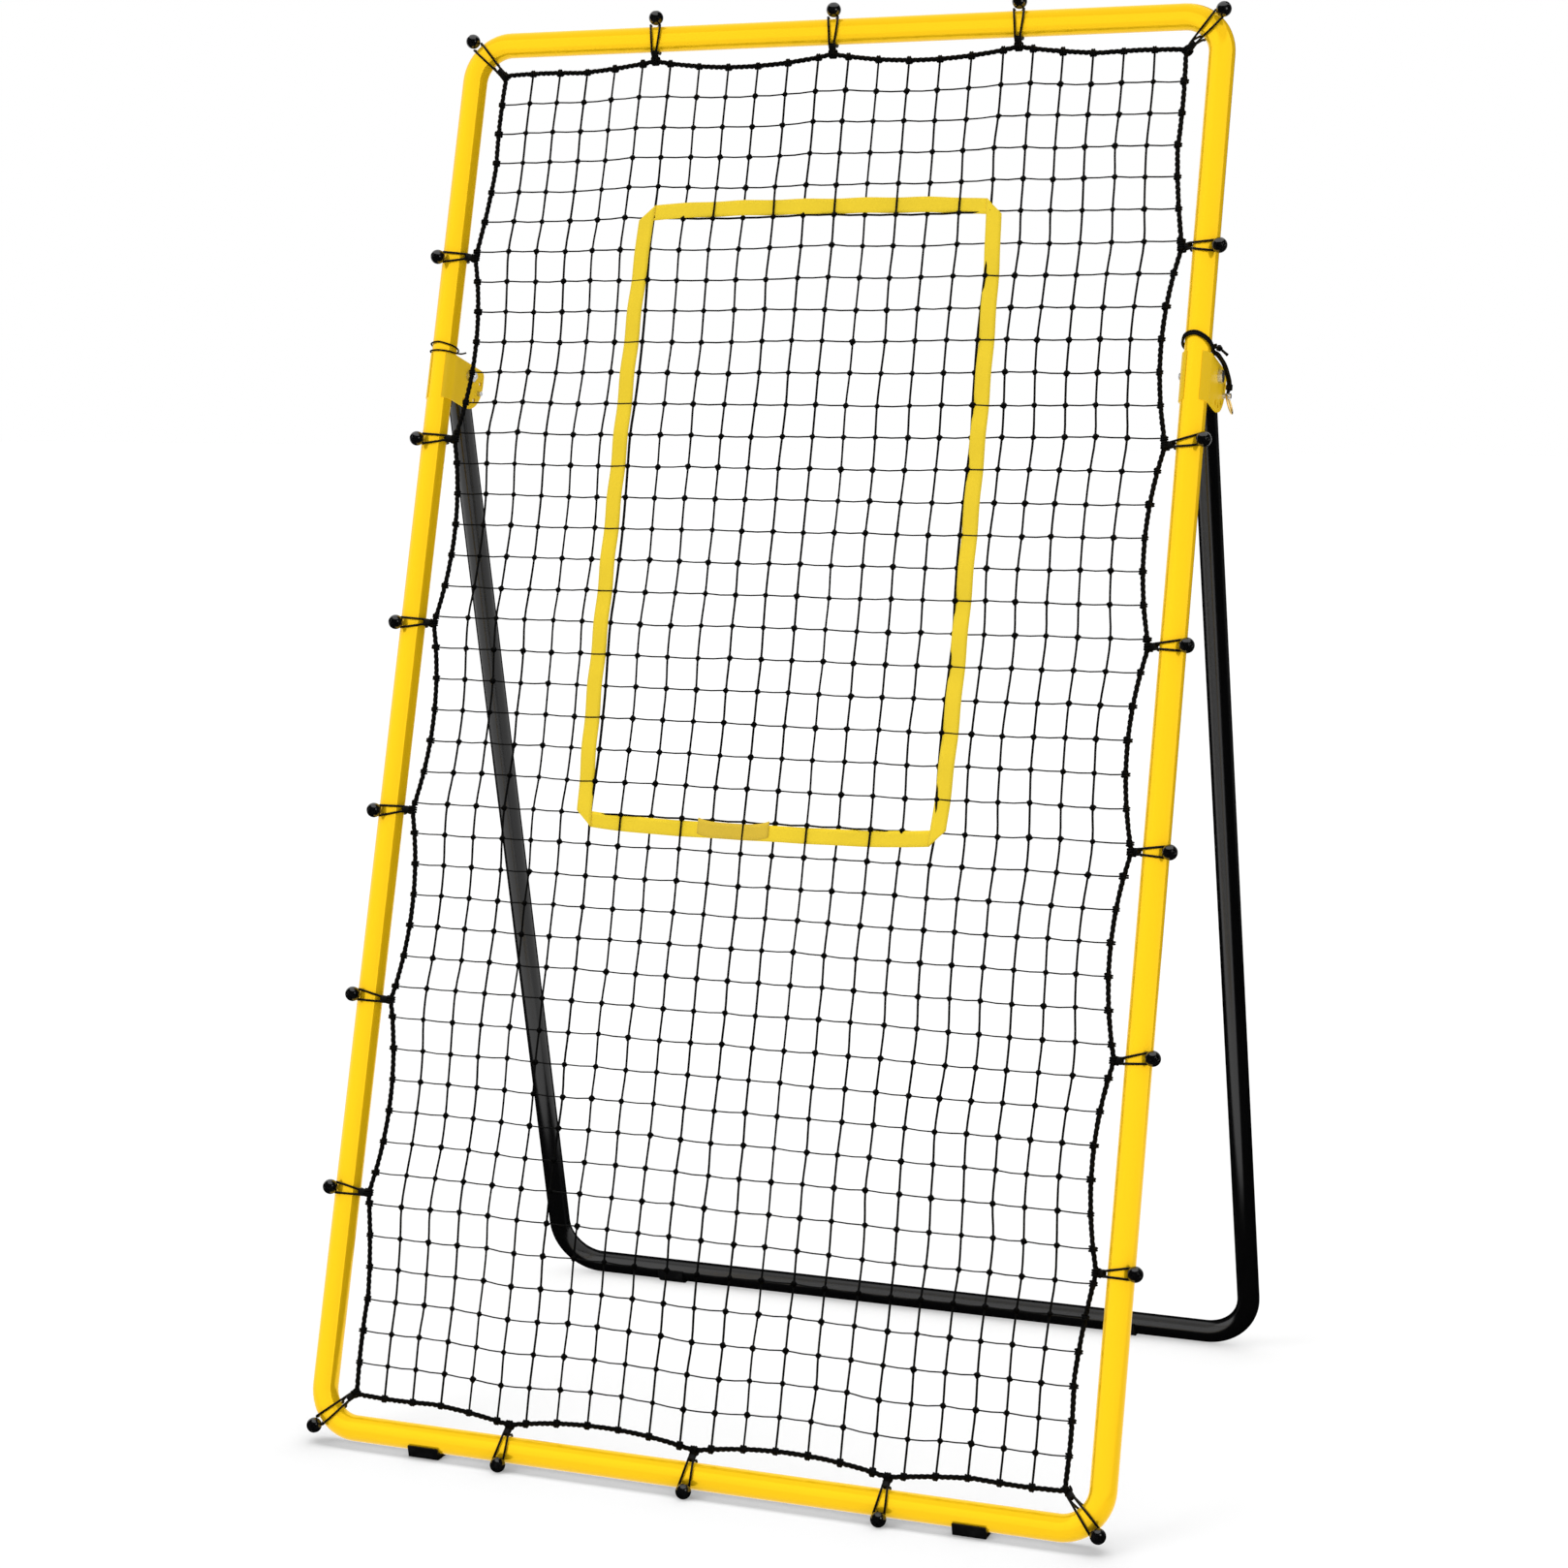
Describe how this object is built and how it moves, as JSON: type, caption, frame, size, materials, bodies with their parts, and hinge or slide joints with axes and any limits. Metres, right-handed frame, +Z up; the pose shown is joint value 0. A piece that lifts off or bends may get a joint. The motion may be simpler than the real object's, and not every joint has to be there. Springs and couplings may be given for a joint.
{
  "type": "pitch back rebounder",
  "caption": "Leaning steel tube frame with a knotted net on ball bungees, a webbing strike zone, and a folding U-shaped stand held by ring pins.",
  "frame": {"origin": "on the floor, in the middle of the footprint", "axes": "+X to the right as the thrower sees it, -Y towards the thrower, +Z up; the net leans back towards +Y"},
  "size_m": [0.9617, 0.7266, 1.6107],
  "materials": {
    "yellow_enamel": "glossy yellow powder coat on steel tube and sheet",
    "black_enamel": "satin black powder coat on steel tube",
    "zinc_steel": "bright zinc-plated steel",
    "brassed_steel": "yellow-passivated wire",
    "black_plastic": "moulded black plastic",
    "ball_plastic": "glossy black moulded ball on black elastic cord",
    "black_cord": "braided black cord",
    "net_twine": "knotted black polyester twine",
    "yellow_webbing": "woven yellow webbing"
  },
  "bodies": {
    "frame": {"frame": "yellow_enamel", "foot_pad_left": "black_plastic", "foot_pad_right": "black_plastic", "ear_left_inner": "yellow_enamel", "ear_left_outer": "yellow_enamel", "ear_right_inner": "yellow_enamel", "ear_right_outer": "yellow_enamel", "pivot_bolt_left": "zinc_steel", "pivot_bolt_right": "zinc_steel", "pivot_nut_left": "zinc_steel", "pivot_nut_right": "zinc_steel", "lanyard_left": "black_cord", "lanyard_right": "black_cord", "net": "net_twine", "border_rope": "net_twine", "strike_zone": "yellow_webbing", "bungee_left_1": "ball_plastic", "bungee_left_2": "ball_plastic", "bungee_left_3": "ball_plastic", "bungee_left_4": "ball_plastic", "bungee_left_5": "ball_plastic", "bungee_left_6": "ball_plastic", "bungee_right_1": "ball_plastic", "bungee_right_2": "ball_plastic", "bungee_right_3": "ball_plastic", "bungee_right_4": "ball_plastic", "bungee_right_5": "ball_plastic", "bungee_right_6": "ball_plastic", "bungee_top_1": "ball_plastic", "bungee_top_2": "ball_plastic", "bungee_top_3": "ball_plastic", "bungee_bottom_1": "ball_plastic", "bungee_bottom_2": "ball_plastic", "bungee_bottom_3": "ball_plastic", "bungee_corner_1": "ball_plastic", "bungee_corner_2": "ball_plastic", "bungee_corner_3": "ball_plastic", "bungee_corner_4": "ball_plastic"},
    "stand": {"stand": "black_enamel", "stand_pad_left": "black_plastic", "stand_pad_right": "black_plastic", "pivot_sleeve_left": "zinc_steel", "pivot_sleeve_right": "zinc_steel", "leg_cap_left": "black_plastic", "leg_cap_right": "black_plastic"},
    "lock_pin_left": {"lock_pin_left": "zinc_steel"},
    "lock_pin_right": {"lock_pin_right": "zinc_steel"},
    "pull_ring_left": {"pull_ring_left": "brassed_steel"},
    "pull_ring_right": {"pull_ring_right": "brassed_steel"}
  },
  "joints": [
    {"name": "stand_fold", "type": "hinge", "parent": "frame", "child": "stand", "pos_m": [0, 0.04086, 1.18887], "axis": [1, 0, 0], "range_deg": [-30.59, 0]},
    {"name": "lock_pin_left_pull", "type": "slide", "parent": "frame", "child": "lock_pin_left", "axis": [-1, 0, 0], "range_m": [0, 0.045]},
    {"name": "lock_pin_right_pull", "type": "slide", "parent": "frame", "child": "lock_pin_right", "axis": [1, 0, 0], "range_m": [0, 0.045]},
    {"name": "pull_ring_left_swing", "type": "hinge", "parent": "lock_pin_left", "child": "pull_ring_left", "pos_m": [-0.47355, 0.06357, 1.16778], "axis": [0, 0.9613, -0.2756], "range_deg": [-15, 140]},
    {"name": "pull_ring_right_swing", "type": "hinge", "parent": "lock_pin_right", "child": "pull_ring_right", "pos_m": [0.47355, 0.06357, 1.16778], "axis": [0, -0.9613, 0.2756], "range_deg": [-15, 140]}
  ]
}
